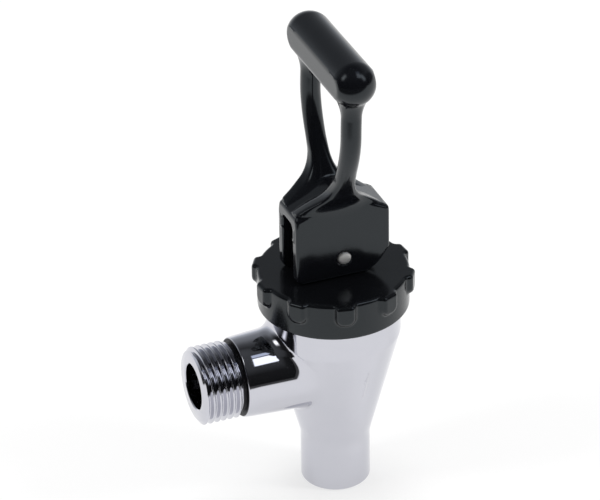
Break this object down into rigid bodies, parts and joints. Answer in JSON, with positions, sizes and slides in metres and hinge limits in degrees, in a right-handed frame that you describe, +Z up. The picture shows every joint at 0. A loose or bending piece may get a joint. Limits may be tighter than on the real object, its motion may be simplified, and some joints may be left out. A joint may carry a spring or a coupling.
{
  "type": "drain tap",
  "caption": "Self-closing chrome-plated drain tap with a threaded side inlet, a ribbed screw-on bonnet and a loop lever handle whose cam foot lifts a sprung valve stem.",
  "frame": {"origin": "on the axis of the threaded inlet, in the plane of the boss shoulder behind the thread", "axes": "+X along the inlet's axis away from the tank, +Z up along the tap, +Y along the grip bar and the handle's pin"},
  "size_m": [0.0613, 0.0428, 0.1332],
  "materials": {
    "chromed_brass": "cast brass, polished and chromium plated",
    "black_plastic": "glossy moulded",
    "handle_plastic": "glossy moulded",
    "pin_steel": "drawn stainless steel with domed ends",
    "stem_plastic": "moulded",
    "spring_steel": "drawn wire",
    "silicone": "moulded silicone",
    "nylon": "stamped sheet"
  },
  "bodies": {
    "root": {"body": "chromed_brass", "bonnet": "black_plastic", "friction_ring": "nylon", "seat_cup": "silicone", "return_spring": "spring_steel"},
    "stem": {"stem": "stem_plastic"},
    "handle": {"handle": "handle_plastic", "handle_pin": "pin_steel"}
  },
  "joints": [
    {"name": "stem_lift", "type": "slide", "parent": "root", "child": "stem", "axis": [0, 0, 1], "range_m": [0, 0.00441], "deforming": ["return_spring", "seat_cup"]},
    {"name": "handle_tilt", "type": "hinge", "parent": "stem", "child": "handle", "pos_m": [0.0289, 0, 0.0335], "axis": [0, 1, 0], "range_deg": [0, 55], "stiffness_Nm_per_rad": 0.042, "springref_deg": -75.06}
  ],
  "couplings": [
    {"joint": "stem_lift", "follows": "handle_tilt", "m_per_rad": 0.0045837}
  ]
}
